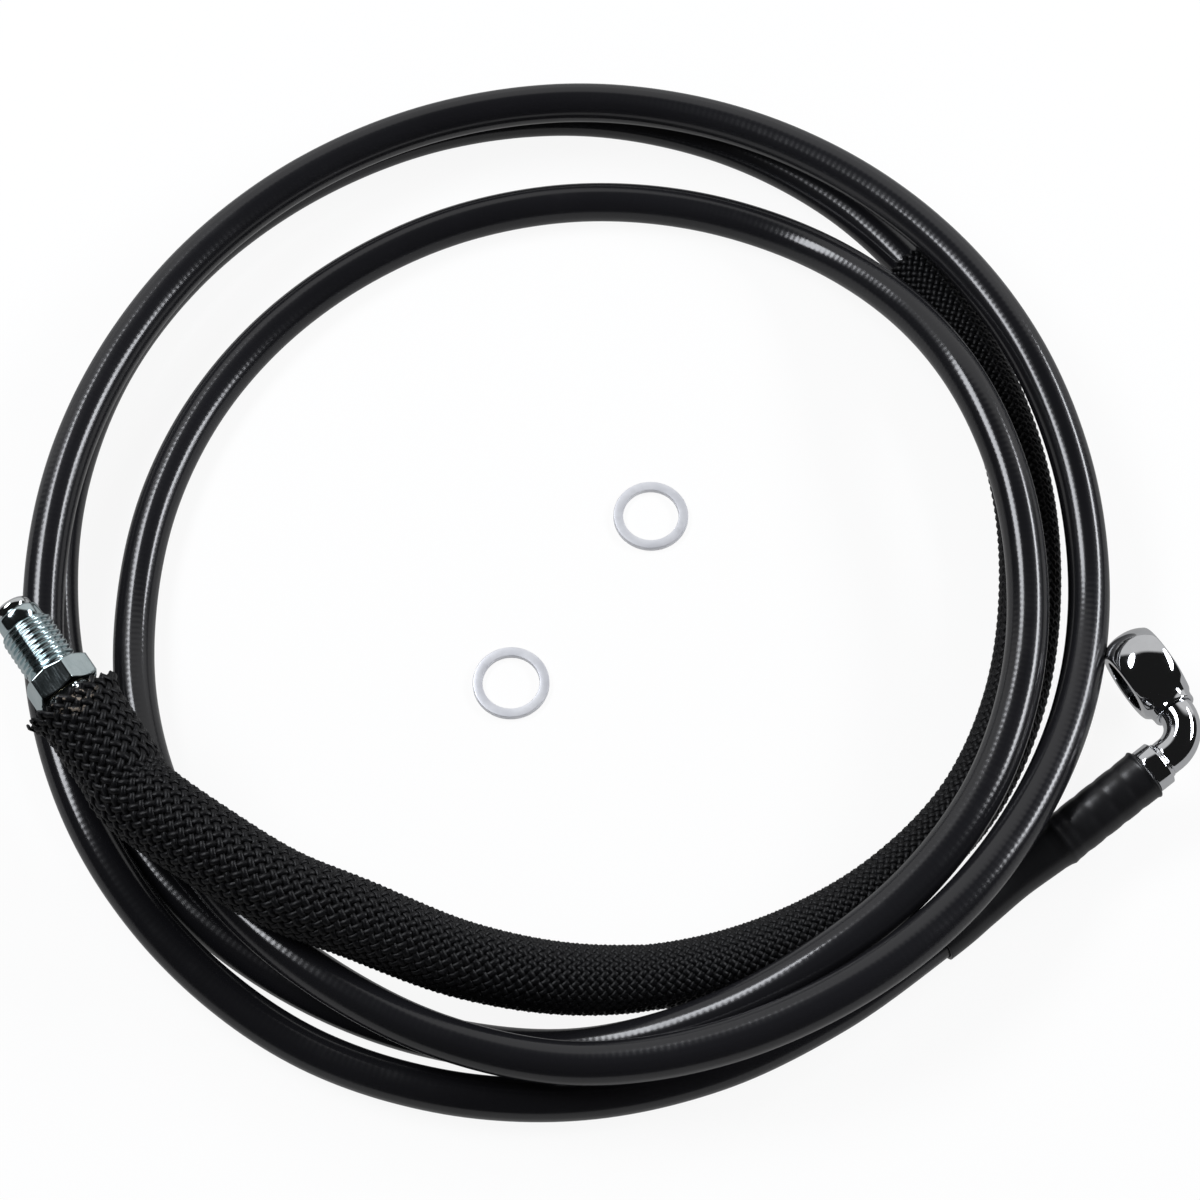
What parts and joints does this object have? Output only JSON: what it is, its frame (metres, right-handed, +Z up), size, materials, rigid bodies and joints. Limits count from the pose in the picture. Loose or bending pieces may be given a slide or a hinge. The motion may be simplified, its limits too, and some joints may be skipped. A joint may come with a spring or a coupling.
{
  "type": "hydraulic hose assembly",
  "caption": "Coiled flexible hydraulic hose with a banjo eye on one end, a male flare nut on the other, a braided sleeve over its last stretch and loose crush washers.",
  "frame": {"origin": "on the surface that the coil lies on, under the middle of the end fittings and washers, which is within a few millimetres of the coil's own middle", "axes": "+Z up from the surface, +X towards the banjo fitting, +Y towards the side where the nut points"},
  "size_m": [0.2111, 0.2065, 0.0315],
  "materials": {
    "cover": "smooth extruded vinyl",
    "braid": "woven wire",
    "liner": "white fluoropolymer",
    "sleeve": "braided yarn, satin",
    "shrink": "shrunk polyolefin",
    "chrome": "bright chrome plated",
    "ferrule": "bright chrome plated, pressed",
    "yellow_ferrule": "yellow passivated",
    "nut_steel": "bright zinc plated",
    "pipe_steel": "bright plated pipe with a domed flare",
    "washer": "stamped, annealed"
  },
  "bodies": {
    "hose": {"vinyl_cover": "cover", "steel_braid": "braid", "ptfe_liner": "liner", "braided_sleeve": "sleeve", "shrink_tube": "shrink", "banjo_eye": "chrome", "banjo_neck": "chrome", "crimp_ferrule": "ferrule", "end_ferrule": "yellow_ferrule", "end_pipe": "pipe_steel"},
    "nut": {"tube_nut": "nut_steel"},
    "washer_1": {"crush_washer_1": "washer"},
    "washer_2": {"crush_washer_2": "washer"}
  },
  "joints": [
    {"name": "nut_spin", "type": "hinge", "parent": "hose", "child": "nut", "pos_m": [-0.0921, -0.0149, 0.0246], "axis": [-0.5764, 0.8021, 0.1564], "continuous": true},
    {"name": "washer_1_lift", "type": "slide", "parent": "hose", "child": "washer_1", "axis": [0, 0, 1], "range_m": [0, 0.05]},
    {"name": "washer_2_lift", "type": "slide", "parent": "hose", "child": "washer_2", "axis": [0, 0, 1], "range_m": [0, 0.05]}
  ]
}
